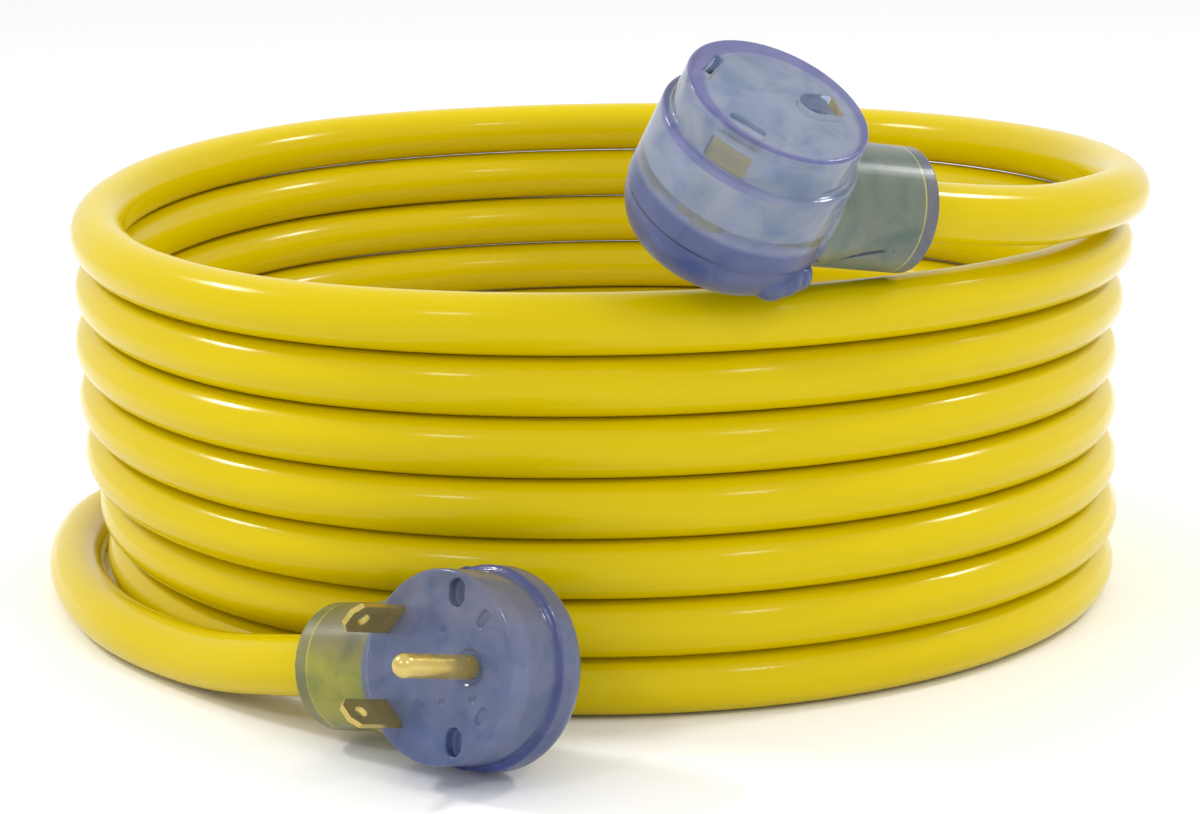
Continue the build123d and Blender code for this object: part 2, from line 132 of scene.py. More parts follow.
curve = bpy.data.curves.new("cord", "CURVE")
curve.dimensions = "3D"
spline = curve.splines.new("NURBS")
spline.points.add(len(route) - 1)
for point, place in zip(spline.points, route):
    point.co = (*place, 1)
    point.radius = CORD_D / 2 * MM  # on the points, so that the curve's box has it too
spline.order_u = 3
spline.use_endpoint_u = True
spline.resolution_u = 6
curve.resolution_u = 6
curve.bevel_depth = 1.0
curve.bevel_resolution = 10
curve.use_fill_caps = True
cord = bpy.data.objects.new("cord", curve)
bpy.context.collection.objects.link(cord)
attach(cord, "root")
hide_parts("cord_lead", "cord_coil", "cord_tail")


# ---- materials ----------------------------------------------------------------------------------------
class Shader:
    """A small helper for building a node material."""

    def __init__(self, name):
        self.material = bpy.data.materials.new(name)
        self.material.use_nodes = True
        self.nodes = self.material.node_tree.nodes
        self.links = self.material.node_tree.links
        self.surface = self.nodes["Principled BSDF"]
        self.place = self.add("ShaderNodeTexCoord").outputs["Object"]

    def add(self, kind, **values):
        node = self.nodes.new(kind)
        for key, value in values.items():
            if hasattr(node, key):
                setattr(node, key, value)
            else:
                node.inputs[key.replace("_", " ")].default_value = value
        return node

    def link(self, out, target):
        self.links.new(out, target)

    def noise(self, scale, detail=3.0, roughness=0.5, distortion=0.0):
        node = self.add("ShaderNodeTexNoise")
        node.inputs["Scale"].default_value = scale
        node.inputs["Detail"].default_value = detail
        node.inputs["Roughness"].default_value = roughness
        node.inputs["Distortion"].default_value = distortion
        self.link(self.place, node.inputs["Vector"])
        return node.outputs["Fac"]

    def ramp(self, value, stops):
        node = self.add("ShaderNodeValToRGB")
        elements = node.color_ramp.elements
        while len(elements) < len(stops):
            elements.new(0.5)
        for element, (at, colour) in zip(elements, stops):
            element.position = at
            element.color = (*colour, 1)
        self.link(value, node.inputs["Fac"])
        return node.outputs["Color"]

    def spread(self, value, low, high):
        node = self.add("ShaderNodeMapRange")
        node.inputs["From Min"].default_value = 0.3
        node.inputs["From Max"].default_value = 0.7
        node.inputs["To Min"].default_value = low
        node.inputs["To Max"].default_value = high
        self.link(value, node.inputs["Value"])
        return node.outputs["Result"]

    def bump(self, height, strength, distance, before=None):
        node = self.add("ShaderNodeBump")
        node.inputs["Strength"].default_value = strength
        node.inputs["Distance"].default_value = distance
        self.link(height, node.inputs["Height"])
        if before is not None:
            self.link(before, node.inputs["Normal"])
        return node.outputs["Normal"]

    def math(self, operation, first, second):
        node = self.add("ShaderNodeMath", operation=operation)
        for value, target in zip((first, second), node.inputs):
            if isinstance(value, float):
                target.default_value = value
            else:
                self.link(value, target)
        return node.outputs["Value"]

    def local(self, place, axis):
        """An end's own coordinate in millimetres: 0 down its neck, 1 across it, 2 out of its face."""
        direction = Vector(place.col[axis][:3]).normalized() / MM
        dot = self.add("ShaderNodeVectorMath", operation="DOT_PRODUCT")
        self.link(self.place, dot.inputs[0])
        dot.inputs[1].default_value = direction
        return self.math("SUBTRACT", dot.outputs["Value"], direction.dot(place.translation))

    def radius(self, place, across=0.0):
        """The distance in millimetres from an end's head axis, or from a line beside it."""
        u, v = self.local(place, 0), self.math("SUBTRACT", self.local(place, 1), across)
        square = self.math("ADD", self.math("MULTIPLY", u, u), self.math("MULTIPLY", v, v))
        return self.math("SQRT", square, 0.0)

    def height(self):
        """The height above the floor in millimetres."""
        return self.local(Matrix.Identity(4), 2)

    def step(self, value, low, high):
        """0 below low, 1 above high, and smooth between; the other way round if high is below low."""
        node = self.add("ShaderNodeMapRange", interpolation_type="SMOOTHSTEP", clamp=True)
        up = high > low
        node.inputs["From Min"].default_value = low if up else high
        node.inputs["From Max"].default_value = high if up else low
        node.inputs["To Min"].default_value = 0.0 if up else 1.0
        node.inputs["To Max"].default_value = 1.0 if up else 0.0
        self.link(value, node.inputs["Value"])
        return node.outputs["Result"]

    def between(self, value, low, high, soft):
        rise = self.step(value, low - soft, low + soft)
        return self.math("MULTIPLY", rise, self.step(value, high + soft, high - soft))

    def tint(self, colour):
        node = self.add("ShaderNodeRGB")
        node.outputs["Color"].default_value = (*colour, 1)
        return node.outputs["Color"]

    def over(self, under, colour, share):
        """A colour laid over another where the share is 1."""
        node = self.add("ShaderNodeMix", data_type="RGBA")
        self.link(share, node.inputs["Factor"])
        self.link(under, node.inputs["A"])
        node.inputs["B"].default_value = (*colour, 1)
        return node.outputs["Result"]

    def times(self, first, second):
        node = self.add("ShaderNodeMix", data_type="RGBA", blend_type="MULTIPLY")
        node.inputs["Factor"].default_value = 1.0
        self.link(first, node.inputs["A"])
        self.link(second, node.inputs["B"])
        return node.outputs["Result"]

    def blend(self, first, second, share):
        """A value that goes from the first to the second, either of them a number or a node's output."""
        node = self.add("ShaderNodeMix", data_type="FLOAT")
        self.link(share, node.inputs["Factor"])
        for value, target in ((first, node.inputs["A"]), (second, node.inputs["B"])):
            if isinstance(value, float):
                target.default_value = value
            else:
                self.link(value, target)
        return node.outputs["Result"]

    def set(self, **values):
        for key, value in values.items():
            self.surface.inputs[key.replace("_", " ")].default_value = value


def jacket_material():
    s = Shader("yellow_pvc")
    s.set(Metallic=0.0, IOR=1.5, Specular_IOR_Level=0.15, Subsurface_Weight=0.0)
    colour = s.ramp(s.noise(9, 3), [(0.3, (0.585, 0.445, 0.0)), (0.7, (0.62, 0.475, 0.0))])
    s.link(colour, s.surface.inputs["Base Color"])
    s.link(s.spread(s.noise(60, 5), 0.12, 0.2), s.surface.inputs["Roughness"])
    waves = s.bump(s.noise(30, 2), 0.26, 0.001)
    s.link(s.bump(s.noise(900, 3), 0.08, 0.0002, waves), s.surface.inputs["Normal"])
    return s.material


CLOUD_SCALE = 95
CLOUD_TINTS = [(0.34, (0.62, 0.70, 0.82)), (0.5, (0.88, 0.88, 0.90)), (0.66, (1.0, 0.97, 0.95))]
CLOUDY_SHARE, CLOUDY_ROUGHNESS = 0.36, 0.27


def clear_material(name, tint, zones, depth_tint, density, share, roughness, ior=1.42):
    """Cloudy see-through PVC: part glass, part milky, with colour that deepens with its thickness.

    Each zone is a tint, where it lies and how cloudy it is there, and is laid over the ones before it.
    """
    s = Shader(name)
    s.set(IOR=ior, Specular_IOR_Level=0.35, Transmission_Weight=share)
    colour = s.tint(tint)
    cloudy = None
    for zone_tint, zone, cloudiness in zones(s) if zones else ():
        colour = s.over(colour, zone_tint, zone)
        amount = s.math("MULTIPLY", zone, cloudiness)
        cloudy = amount if cloudy is None else s.math("MAXIMUM", cloudy, amount)
    patches = s.ramp(s.noise(CLOUD_SCALE, 4, distortion=0.7), CLOUD_TINTS)
    s.link(s.times(colour, patches), s.surface.inputs["Base Color"])
    rough = s.spread(s.noise(90, 3), roughness - 0.03, roughness + 0.04)
    if cloudy is not None:
        rough = s.blend(rough, CLOUDY_ROUGHNESS, cloudy)
        s.link(s.blend(share, CLOUDY_SHARE, cloudy), s.surface.inputs["Transmission Weight"])
    s.link(rough, s.surface.inputs["Roughness"])
    s.link(s.bump(s.noise(110, 2), 0.08, 0.0006), s.surface.inputs["Normal"])
    absorb = s.add("ShaderNodeVolumeAbsorption")
    absorb.inputs["Color"].default_value = (*depth_tint, 1)
    absorb.inputs["Density"].default_value = density
    s.link(absorb.outputs["Volume"], s.nodes["Material Output"].inputs["Volume"])
    return s.material


def metal_material(name, dark, light, roughness, metallic=1.0):
    s = Shader(name)
    s.set(Metallic=metallic)
    s.link(s.ramp(s.noise(120, 5), [(0.35, dark), (0.65, light)]), s.surface.inputs["Base Color"])
    s.link(s.spread(s.noise(400, 4), roughness - 0.04, roughness + 0.05), s.surface.inputs["Roughness"])
    s.link(s.bump(s.noise(700, 2), 0.006, 0.0001), s.surface.inputs["Normal"])
    return s.material


def plastic_material(name, dark, light, roughness):
    s = Shader(name)
    s.link(s.ramp(s.noise(90, 4), [(0.35, dark), (0.65, light)]), s.surface.inputs["Base Color"])
    s.link(s.spread(s.noise(200, 4), roughness - 0.06, roughness + 0.06), s.surface.inputs["Roughness"])
    s.link(s.bump(s.noise(600, 3), 0.1, 0.0002), s.surface.inputs["Normal"])
    return s.material


def paint(obj, material):
    obj.data.materials.clear()
    obj.data.materials.append(material)


jacket = jacket_material()
paint(cord, jacket)

# ---- mesh tools, in an end's local millimetres --------------------------------------------------------
def lathe(bm, profile, at=(0, 0), steps=96):
    """A closed solid of revolution about the line through (u, v), from its (radius, w) points."""
    rings = []
    for radius, w in profile:
        if radius < 1e-6:
            rings.append([bm.verts.new((at[0], at[1], w))])
        else:
            ring = []
            for i in range(steps):
                a = 2 * pi * i / steps
                ring.append(bm.verts.new((at[0] + radius * cos(a), at[1] + radius * sin(a), w)))
            rings.append(ring)
    for low, high in zip(rings, rings[1:]):
        for i in range(steps):
            j = (i + 1) % steps
            if len(low) == 1:
                bm.faces.new((low[0], high[j], high[i]))
            elif len(high) == 1:
                bm.faces.new((low[i], low[j], high[0]))
            else:
                bm.faces.new((low[i], low[j], high[j], high[i]))


def rod(bm, start, end, radius, end_radius=None, steps=64):
    """A closed round bar between two points, tapered if it has an end radius."""
    start, end = Vector(start), Vector(end)
    along = (end - start).normalized()
    side = along.orthogonal().normalized()
    other = along.cross(side)
    rings = []
    for middle, r in ((start, radius), (end, end_radius or radius)):
        ring = []
        for i in range(steps):
            a = 2 * pi * i / steps
            ring.append(bm.verts.new(middle + (side * cos(a) + other * sin(a)) * r))
        rings.append(ring)
    for i in range(steps):
        j = (i + 1) % steps
        bm.faces.new((rings[0][i], rings[0][j], rings[1][j], rings[1][i]))
    bm.faces.new(tuple(reversed(rings[0])))
    bm.faces.new(tuple(rings[1]))


def prism(bm, outline, low, high):
    """A closed straight-sided solid over an outline of (u, v) points."""
    bottom = [bm.verts.new((u, v, low)) for u, v in outline]
    top = [bm.verts.new((u, v, high)) for u, v in outline]
    count = len(outline)
    for i in range(count):
        j = (i + 1) % count
        bm.faces.new((bottom[i], bottom[j], top[j], top[i]))
    bm.faces.new(tuple(reversed(bottom)))
    bm.faces.new(tuple(top))


def taper(bm, start_u, start_half, end_u, end_half, w, steps=64):
    """A closed solid between two ovals square to the neck, each given by its half width and half height."""
    rings = []
    for u, (half_v, half_w) in ((start_u, start_half), (end_u, end_half)):
        ring = []
        for i in range(steps):
            a = 2 * pi * i / steps
            ring.append(bm.verts.new((u, half_v * cos(a), w + half_w * sin(a))))
        rings.append(ring)
    for i in range(steps):
        j = (i + 1) % steps
        bm.faces.new((rings[0][i], rings[0][j], rings[1][j], rings[1][i]))
    bm.faces.new(tuple(reversed(rings[0])))
    bm.faces.new(tuple(rings[1]))


def slot_outline(middle, along, length, width):
    """A rectangle as (u, v) points, its length along a direction given in degrees."""
    a = radians(along)
    ahead, side = Vector((cos(a), sin(a))), Vector((-sin(a), cos(a)))
    corners = []
    for i, j in ((-1, -1), (1, -1), (1, 1), (-1, 1)):
        corners.append(Vector(middle) + ahead * (i * length / 2) + side * (j * width / 2))
    return corners


def oval(middle, along, length, width, steps=24):
    """A round-ended slot as (u, v) points."""
    a = radians(along)
    ahead = Vector((cos(a), sin(a)))
    r, reach = width / 2, (length - width) / 2
    points = []
    for i in range(steps):
        t = a - pi / 2 + 2 * pi * i / steps
        end = ahead * (reach if i < steps / 2 else -reach)
        points.append(Vector(middle) + end + Vector((cos(t), sin(t))) * r)
    return points


def mesh_of(bm, name):
    bmesh.ops.recalc_face_normals(bm, faces=bm.faces)
    mesh = bpy.data.meshes.new(name)
    bm.to_mesh(mesh)
    bm.free()
    return mesh


def evaluated(obj, name):
    mesh = bpy.data.meshes.new_from_object(obj.evaluated_get(bpy.context.evaluated_depsgraph_get()))
    mesh.name = name
    return mesh


def moulding(name, add, cut, place, voxel, rounding):
    """A moulded piece: what add draws less what cut draws, with its edges softened."""
    solids = []
    for part in (add, cut):
        bm = bmesh.new()
        part(bm)
        solid = bpy.data.objects.new(name + "_work", mesh_of(bm, name))
        bpy.context.collection.objects.link(solid)
        solids.append(solid)
    body, tool = solids
    difference = body.modifiers.new("cut", "BOOLEAN")
    difference.operation = "DIFFERENCE"
    difference.solver = "EXACT"
    difference.use_self = True
    difference.object = tool
    remesh = body.modifiers.new("remesh", "REMESH")
    remesh.mode = "VOXEL"
    remesh.voxel_size = voxel
    smooth = body.modifiers.new("smooth", "SMOOTH")
    smooth.factor = 0.5
    smooth.iterations = rounding
    mesh = evaluated(body, name)
    for solid in solids:
        bpy.data.objects.remove(solid)
    mesh.transform(place)
    mesh.shade_smooth()
    piece = bpy.data.objects.new(name, mesh)
    bpy.context.collection.objects.link(piece)
    return piece


def bevelled(name, draw, place, width, segments=2, angle=35):
    """A hard piece with small rounded edges."""
    bm = bmesh.new()
    draw(bm)
    work = bpy.data.objects.new(name + "_work", mesh_of(bm, name))
    bpy.context.collection.objects.link(work)
    bevel = work.modifiers.new("bevel", "BEVEL")
    bevel.width = width
    bevel.segments = segments
    bevel.limit_method = "ANGLE"
    bevel.angle_limit = radians(angle)
    bevel.harden_normals = True
    work.data.shade_smooth()
    mesh = evaluated(work, name)
    bpy.data.objects.remove(work)
    mesh.transform(place)
    piece = bpy.data.objects.new(name, mesh)
    bpy.context.collection.objects.link(piece)
    return piece


def settle(piece, slot, material, *nodes):
    """Fixes a finished piece to the frame, in the place of its CAD nodes."""
    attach(piece, "root")
    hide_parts(*nodes)
    paint(piece, material)


# ---- plug ---------------------------------------------------------------------------------------------
BLADE_U, BLADE_V = 14.8, 12.1
PIN_U, PIN_R, PIN_RING_R = 11.0, 3.15, 4.7
BLADE_OUT, PIN_OUT = 17.4, 26.5
NECK_R = 17.2
PLUG_FACE_W, PLUG_FACE_R = 25.4, 25.2
PLUG_FLANGE_R, PLUG_FLANGE_W = 26.9, 8.0
PLUG_BACK_W, PLUG_DOME = 2.0, 11.0
VOXEL = 0.4


def neck_bar(bm, w, length):
    """A moulded neck: a round bar with a shallow groove just short of its end."""
    groove = length - 4.2
    rod(bm, (0, 0, w), (groove, 0, w), NECK_R)
    rod(bm, (groove - 0.5, 0, w), (groove + 0.5, 0, w), NECK_R - 0.35)
    rod(bm, (groove + 0.4, 0, w), (length, 0, w), NECK_R)


def plug_add(bm):
    profile = [(0, PLUG_BACK_W - PLUG_DOME)]
    for i in range(1, 13):
        a = radians(90 * i / 12)
        profile.append((PLUG_FLANGE_R * sin(a), PLUG_BACK_W - PLUG_DOME * cos(a)))
    profile += [
        (PLUG_FLANGE_R, PLUG_FLANGE_W - 0.8),
        (PLUG_FLANGE_R - 0.8, PLUG_FLANGE_W),
        (PLUG_FACE_R, PLUG_FLANGE_W),
        (PLUG_FACE_R, PLUG_FACE_W - 0.6),
        (PLUG_FACE_R - 0.6, PLUG_FACE_W),
        (0, PLUG_FACE_W),
    ]
    lathe(bm, profile)
    neck_bar(bm, PLUG_NECK_W, PLUG_NECK_L)
    taper(bm, 6, (26.6, 12.5), 38, (NECK_R - 0.3, 12.5), PLUG_NECK_W - 0.5)


def sink(bm, middle, radius, depth, steps):
    """A round cutter that goes a given depth into the plug's face."""
    low, high = PLUG_FACE_W - depth, PLUG_FACE_W + 1
    lathe(bm, [(0, low), (radius, low), (radius, high), (0, high)], at=middle, steps=steps)


def plug_cut(bm):
    for side in (1, -1):
        prism(bm, oval((-6.3, side * 18.9), 90, 7.4, 5.4), PLUG_FACE_W - 3, PLUG_FACE_W + 1)
        prism(bm, oval((-15.5, side * 12.2), 50, 5.0, 3.0), PLUG_FACE_W - 1.2, PLUG_FACE_W + 1)
    for u, v in ((-2.0, 8.7), (-12.5, 8.0), (-2.0, -9.5)):
        sink(bm, (u, v), 1.1, 0.7, steps=32)
    sink(bm, (-PIN_U, 0), PIN_RING_R, 0.6, steps=48)


def clipped_blade(bm, side, foot_w, tip_w):
    """A flat blade with clipped corners and a hole near its tip."""
    half_w, half_t, clip = 4.5, 0.8, 2.4
    hole_w, hole_r = tip_w - 5.2, 1.7
    count = 24
    direction = Vector((-sin(radians(45)), side * cos(radians(45)), 0))
    across = Vector((cos(radians(45)), side * sin(radians(45)), 0))
    middle = Vector((BLADE_U, side * BLADE_V, 0))
    outline = [
        (-half_w, foot_w),
        (half_w, foot_w),
        (half_w, hole_w),
        (half_w, tip_w - clip),
        (half_w - clip, tip_w),
        (-half_w + clip, tip_w),
        (-half_w, tip_w - clip),
        (-half_w, hole_w),
    ]
    layers = []
    for t in (-half_t, half_t):
        outer = [bm.verts.new(middle + direction * x + Vector((0, 0, w)) + across * t) for x, w in outline]
        hole = []
        for i in range(count):
            a = 2 * pi * i / count
            x, w = hole_r * cos(a), hole_w + hole_r * sin(a)
            hole.append(bm.verts.new(middle + direction * x + Vector((0, 0, w)) + across * t))
        layers.append((outer, hole))
    for outer, hole in layers:
        right, left = outer[2], outer[7]
        lower = hole[count // 2 :] + [hole[0]]
        upper = hole[: count // 2 + 1]
        bm.faces.new([left, outer[0], outer[1], right] + list(reversed(lower)))
        bm.faces.new([right, outer[3], outer[4], outer[5], outer[6], left] + list(reversed(upper)))
    (outer_a, hole_a), (outer_b, hole_b) = layers
    for first, second in ((outer_a, outer_b), (hole_a, hole_b)):
        for i in range(len(first)):
            j = (i + 1) % len(first)
            bm.faces.new((first[i], first[j], second[j], second[i]))


def pin_profile(foot_w, tip_w):
    profile = [(0, foot_w), (PIN_R, foot_w), (PIN_R, tip_w - PIN_R)]
    for i in range(1, 9):
        a = radians(90 * i / 8)
        profile.append((PIN_R * cos(a), tip_w - PIN_R + PIN_R * sin(a)))
    profile[-1] = (0, tip_w)
    return profile


# ---- plug pieces --------------------------------------------------------------------------------------
BAND = 4.2  # the plain end band of each neck
GLINT_WIDTH = 0.45  # the width of the bright line inside it, a painted reflection of the yellow jacket


def plug_zones(s):
    u, w, r = s.local(PLUG, 0), s.local(PLUG, 2), s.radius(PLUG)
    line_u = PLUG_NECK_L - BAND
    z = s.height()
    neck = s.step(u, 25.5, 28.0)
    step_ring = s.math("MULTIPLY", s.between(w, 6.9, 8.4, 0.9), s.step(r, 24.4, 25.6))
    # painted shade: the plug darker and bluer towards the floor, set by its height above it
    shade_near_floor = s.math("MULTIPLY", s.step(z, 26.0, 2.0), 0.9)
    # painted shade: the neck darker and greyer along its top and its underside, set by height above the
    # floor
    neck_top_shade = s.math("MULTIPLY", neck, s.step(z, 24.0, 33.0))
    neck_underside_shade = s.math("MULTIPLY", neck, s.step(z, 11.0, 2.0))
    # painted sheen: the head greyer towards its top, set by its height above the floor
    upper = s.math("MULTIPLY", s.step(z, 36.0, 48.0), 0.5)
    back = s.step(w, 5.0, -5.0)
    return [
        # painted sheen on the head's top
        ((0.30, 0.29, 0.36), upper, 0.2),
        # painted shade towards the floor
        ((0.12, 0.17, 0.40), shade_near_floor, 0.5),
        ((0.14, 0.20, 0.40), back, 0.5),
        ((0.13, 0.15, 0.40), step_ring, 0.3),
        ((0.42, 0.42, 0.065), neck, 1.0),
        # painted shade along the neck's top and underside
        ((0.27, 0.25, 0.115), neck_top_shade, 1.0),
        ((0.24, 0.24, 0.13), neck_underside_shade, 1.0),
        # painted reflection of the yellow jacket: a bright line at the end band's edge
        ((0.62, 0.58, 0.08), s.between(u, line_u - GLINT_WIDTH, line_u, 0.1), 1.0),
        ((0.31, 0.30, 0.12), s.step(u, line_u, line_u + 0.2), 1.0),
    ]


def socket_zones(s):
    u, v, w = s.local(SOCKET, 0), s.local(SOCKET, 1), s.local(SOCKET, 2)
    line_u = SOCKET_NECK_L - BAND
    rim = s.math("MULTIPLY", s.step(s.radius(SOCKET, -2.4), 20.6, 22.4), s.step(w, -0.9, -0.5))
    step_ring = s.between(w, -13.4, -11.2, 0.3)
    step_ring = s.math("MULTIPLY", step_ring, s.blend(0.25, 1.0, s.step(u, -2.0, -18.0)))
    neck = s.math("MULTIPLY", s.step(s.radius(SOCKET), 27.2, 28.8), s.step(u, 17.5, 20.0))
    low = s.step(w, -26.5, -30.5)
    seam = s.math("MULTIPLY", s.between(w, -36.4, -35.9, 0.15), s.step(u, -8.0, -20.0))
    # painted shade: a dark line along the crease down the neck's side, which rises with the distance from
    # its foot, and less and less
    along = s.math("SUBTRACT", u, 26.0)
    rise = s.math("MULTIPLY", along, s.math("SUBTRACT", 0.62, s.math("MULTIPLY", along, 0.0122)))
    above = s.math("SUBTRACT", s.math("ADD", w, 39.9), rise)
    crease = s.math("MULTIPLY", s.between(above, -0.45, 0.45, 0.25), s.between(u, 22.0, 41.5, 0.8))
    crease = s.math("MULTIPLY", crease, s.step(v, -9.0, -11.0))
    return [
        ((0.25, 0.25, 0.53), rim, 0.5),
        ((0.36, 0.37, 0.68), step_ring, 0.3),
        ((0.15, 0.185, 0.375), low, 0.8),
        ((0.04, 0.05, 0.12), seam, 0.9),
        ((0.21, 0.26, 0.205), neck, 1.0),
        # painted shade in the crease
        ((0.05, 0.07, 0.13), crease, 0.9),
        # painted reflection of the yellow jacket: a bright line at the end band's edge
        ((0.62, 0.60, 0.16), s.between(u, line_u - GLINT_WIDTH, line_u, 0.1), 1.0),
        ((0.20, 0.21, 0.235), s.step(u, line_u, line_u + 0.2), 1.0),
    ]


plug_blue = clear_material(
    "plug_pvc",
    (0.25, 0.30, 0.50),
    plug_zones,
    depth_tint=(0.26, 0.34, 0.72),
    density=40.0,
    share=0.6,
    roughness=0.16,
)
socket_blue = clear_material(
    "socket_pvc",
    (0.74, 0.84, 0.96),
    socket_zones,
    depth_tint=(0.38, 0.43, 0.77),
    density=34.0,
    share=0.84,
    roughness=0.08,
)
# it sits inside the moulding, so its border with the moulding hardly bends the light
pale = clear_material(
    "pale_insert",
    (0.86, 0.90, 0.94),
    None,
    depth_tint=(0.80, 0.83, 0.95),
    density=2.0,
    share=0.5,
    roughness=0.12,
    ior=1.06,
)
brass = metal_material("worn_brass", (0.50, 0.38, 0.10), (0.64, 0.49, 0.15), 0.3, 0.85)
bright_brass = metal_material("bright_brass", (0.54, 0.40, 0.105), (0.63, 0.485, 0.155), 0.24, 0.7)
dull_brass = metal_material("dull_brass", (0.38, 0.26, 0.02), (0.48, 0.34, 0.035), 0.4, 0.8)
copper = metal_material("copper", (0.72, 0.33, 0.15), (0.82, 0.43, 0.22), 0.3)

settle(
    moulding("plug_moulding", plug_add, plug_cut, PLUG, VOXEL, 3),
    "clear_blue_moulding",
    plug_blue,
    "plug_body",
)
settle(
    bevelled(
        "plug_core",
        lambda bm: lathe(bm, [(0, 14.4), (20.8, 14.4), (20.8, 21.4), (0, 21.4)]),
        PLUG,
        0.6,
    ),
    "clear_insert",
    pale,
    "plug_insert",
)
for side, label in ((1, "line"), (-1, "neutral")):
    settle(
        bevelled(
            f"plug_{label}_prong",
            lambda bm: clipped_blade(bm, side, 6.5, PLUG_FACE_W + BLADE_OUT),
            PLUG,
            0.22,
        ),
        "contact_brass",
        brass,
        f"plug_{label}_blade",
    )
settle(
    bevelled(
        "plug_pin",
        lambda bm: lathe(bm, pin_profile(8.0, PLUG_FACE_W + PIN_OUT), at=(-PIN_U, 0), steps=48),
        PLUG,
        0.05,
    ),
    "contact_brass",
    bright_brass,
    "plug_ground_pin",
)

# ---- connector ----------------------------------------------------------------------------------------
SOCKET_FACE_R, SOCKET_FACE_H = 25.4, 11.4
SOCKET_BODY_R, SOCKET_SEAM_W = 27.6, -36.0
SOCKET_DOME, SOCKET_FLAT_R = 14.0, 16.0
CONTACT_U = -BLADE_U
GROUND_FLOOR = -23.5
CORE_R, CORE_LOW, CORE_HIGH = 23.3, -27.2, -4.3


def socket_add(bm):
    profile = [(0, SOCKET_SEAM_W - SOCKET_DOME)]
    corner = SOCKET_BODY_R - 0.5 - SOCKET_FLAT_R
    for i in range(13):
        a = radians(90 * i / 12)
        profile.append((SOCKET_FLAT_R + corner * sin(a), SOCKET_SEAM_W - SOCKET_DOME * cos(a)))
    profile += [
        (SOCKET_BODY_R - 0.5, SOCKET_SEAM_W),
        (SOCKET_BODY_R, SOCKET_SEAM_W + 0.5),
        (SOCKET_BODY_R, -SOCKET_FACE_H - 0.5),
        (SOCKET_BODY_R - 0.5, -SOCKET_FACE_H),
        (SOCKET_FACE_R, -SOCKET_FACE_H),
        (SOCKET_FACE_R, -0.6),
        (SOCKET_FACE_R - 0.6, 0),
        (0, 0),
    ]
    lathe(bm, profile)
    neck_bar(bm, SOCKET_NECK_W, SOCKET_NECK_L)
    taper(bm, 6, (25.0, 13.5), 36, (NECK_R - 0.6, 14.0), SOCKET_NECK_W)
    # a small rounded tab at the head's foot, beside the neck
    for angle, w, radius, out in ((-71, -42.0, 5.4, 23.2), (-63, -40.5, 5.6, 24.0), (-55, -40.0, 4.8, 25.4)):
        a = radians(angle)
        foot = (out * cos(a), out * sin(a))
        ball = [(radius * sin(pi * i / 10), w - radius * cos(pi * i / 10)) for i in range(11)]
        lathe(bm, ball, foot, 32)


def mouth_outline(radius, reach):
    """The ground hole's mouth: round towards the middle, squared off on the neck's side."""
    points = [(PIN_U + reach, -radius), (PIN_U + reach, radius)]
    for i in range(13):
        a = radians(90 + 180 * i / 12)
        points.append((PIN_U + radius * cos(a), radius * sin(a)))
    return points


def slot_turn(side):
    return 45 * side


def socket_cut(bm):
    for side in (1, -1):
        prism(bm, slot_outline((CONTACT_U, side * BLADE_V), slot_turn(side), 10.2, 2.4), -6, 1)
    prism(bm, mouth_outline(4.3, 7.0), -7.0, 1)
    lathe(bm, [(0, GROUND_FLOOR), (3.3, GROUND_FLOOR), (3.3, -6.0), (0, -6.0)], at=(PIN_U, 0), steps=48)
    inner, outer = SOCKET_BODY_R - 0.6, SOCKET_BODY_R + 1
    low, high = SOCKET_SEAM_W - 0.35, SOCKET_SEAM_W + 0.35
    lathe(bm, [(inner, low), (outer, low), (outer, high), (inner, high), (inner, low)])
    # the crease down the neck's side, with a round mark at its end
    crease = [(24, -14.3, -41.5), (27.4, -16.3, -38.8), (34, -16.9, -35.4), (41.5, -17.1, -33.1)]
    for start, end in zip(crease, crease[1:]):
        rod(bm, start, end, 0.7, steps=16)
    rod(bm, (44, -16.7, -32.9), (44, -19, -32.9), 0.9, steps=24)


settle(
    moulding("socket_moulding", socket_add, socket_cut, SOCKET, VOXEL, 3),
    "clear_blue_moulding",
    socket_blue,
    "socket_body",
)


def core_add(bm):
    lathe(bm, [(0, CORE_LOW), (CORE_R, CORE_LOW), (CORE_R, CORE_HIGH), (0, CORE_HIGH)])


def core_cut(bm):
    """Room for the contacts, the slots down to them, and a window beside each blade contact."""
    for side in (1, -1):
        prism(bm, slot_outline((CONTACT_U, side * BLADE_V), slot_turn(side), 11.5, 5.1), -28, -5.2)
        prism(bm, slot_outline((CONTACT_U, side * BLADE_V), slot_turn(side), 10.4, 2.6), -20, 1)
        turn = degrees(atan2(side * BLADE_V, CONTACT_U))
        window = Vector((CONTACT_U, side * BLADE_V)) * 1.16
        prism(bm, slot_outline(window, turn, 9.0, 11.6), -13.5, -5.6)
    prism(bm, mouth_outline(4.5, 7.2), -7.2, 1)
    lathe(bm, [(0, -28), (4.7, -28), (4.7, -6.0), (0, -6.0)], at=(PIN_U, 0), steps=48)


settle(
    moulding("socket_core", core_add, core_cut, SOCKET, VOXEL, 2),
    "clear_insert",
    pale,
    "socket_insert",
)

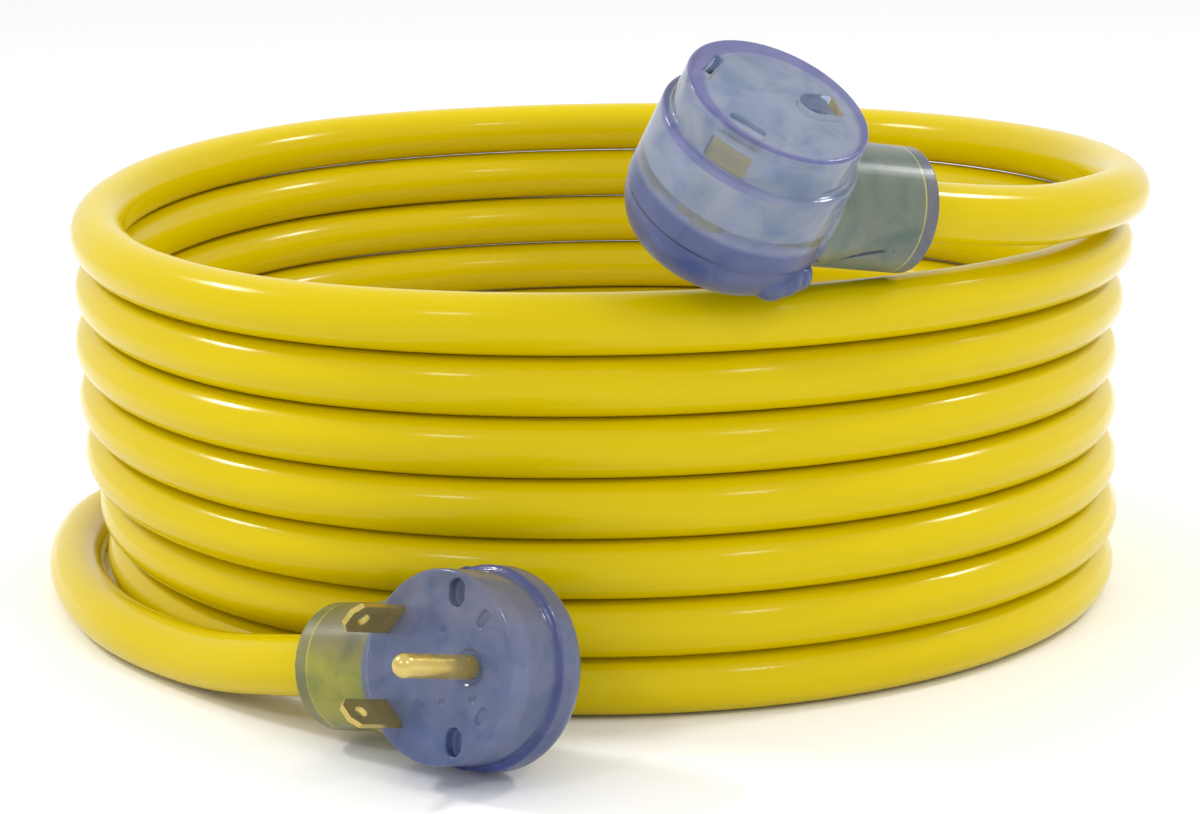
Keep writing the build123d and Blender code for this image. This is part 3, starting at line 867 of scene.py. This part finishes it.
# ---- the CAD pieces that keep their shape --------------------------------------------------------------
jacket_inside = plastic_material("jacket_end", (0.62, 0.49, 0.002), (0.72, 0.58, 0.004), 0.4)
black = plastic_material("black_sleeve", (0.012, 0.012, 0.014), (0.03, 0.03, 0.032), 0.4)
white = plastic_material("white_sleeve", (0.72, 0.72, 0.70), (0.82, 0.82, 0.80), 0.4)
green = plastic_material("green_sleeve", (0.015, 0.16, 0.04), (0.03, 0.24, 0.07), 0.4)
for end in ("plug", "socket"):
    paint(bpy.data.objects[f"{end}_jacket_end"], jacket_inside)
    for name, sleeve in (("line", black), ("neutral", white), ("ground", green)):
        paint(bpy.data.objects[f"{end}_{name}_insulation"], sleeve)
        paint(bpy.data.objects[f"{end}_{name}_conductor"], copper)
for name in ("line", "neutral", "ground"):
    paint(bpy.data.objects[f"socket_{name}_contact"], dull_brass)

# ---- floor and light ----------------------------------------------------------------------------------
FLOOR = 6.0  # metres from its middle to its edge
floor_mesh = bpy.data.meshes.new("floor")
floor_mesh.from_pydata(
    [(-FLOOR, -FLOOR, 0), (FLOOR, -FLOOR, 0), (FLOOR, FLOOR, 0), (-FLOOR, FLOOR, 0)], [], [(0, 1, 2, 3)]
)
floor = bpy.data.objects.new("floor", floor_mesh)
floor.location.z = -0.0002  # just under the cord
bpy.context.collection.objects.link(floor)
floor_paint = Shader("floor_paint")
floor_paint.set(Base_Color=(0.93, 0.93, 0.93, 1), Roughness=0.7)
paint(floor, floor_paint.material)

world = bpy.data.worlds.new("world")
world.use_nodes = True
world.node_tree.nodes["Background"].inputs["Color"].default_value = (1, 1, 1, 1)
world.node_tree.nodes["Background"].inputs["Strength"].default_value = 1.0
bpy.context.scene.world = world


def lamp(name, place, aim, size, power):
    light = bpy.data.lights.new(name, "AREA")
    light.shape = "RECTANGLE"
    light.size, light.size_y = size
    light.energy = power
    obj = bpy.data.objects.new(name, light)
    obj.location = place
    obj.rotation_euler = (Vector(aim) - Vector(place)).to_track_quat("-Z", "Y").to_euler()
    bpy.context.collection.objects.link(obj)


MIDDLE = (0.0, 0.0, 0.06)
lamp("left_box", (-1.17, 0.30, 1.15), MIDDLE, (0.26, 0.15), 8.5)
lamp("right_box", (1.17, 0.30, 1.15), MIDDLE, (0.24, 0.14), 7.2)
lamp("front_left_box", (-0.75, -1.05, 1.15), MIDDLE, (0.20, 0.12), 2.3)
lamp("front_right_box", (0.75, -1.05, 1.15), MIDDLE, (0.20, 0.12), 2.3)
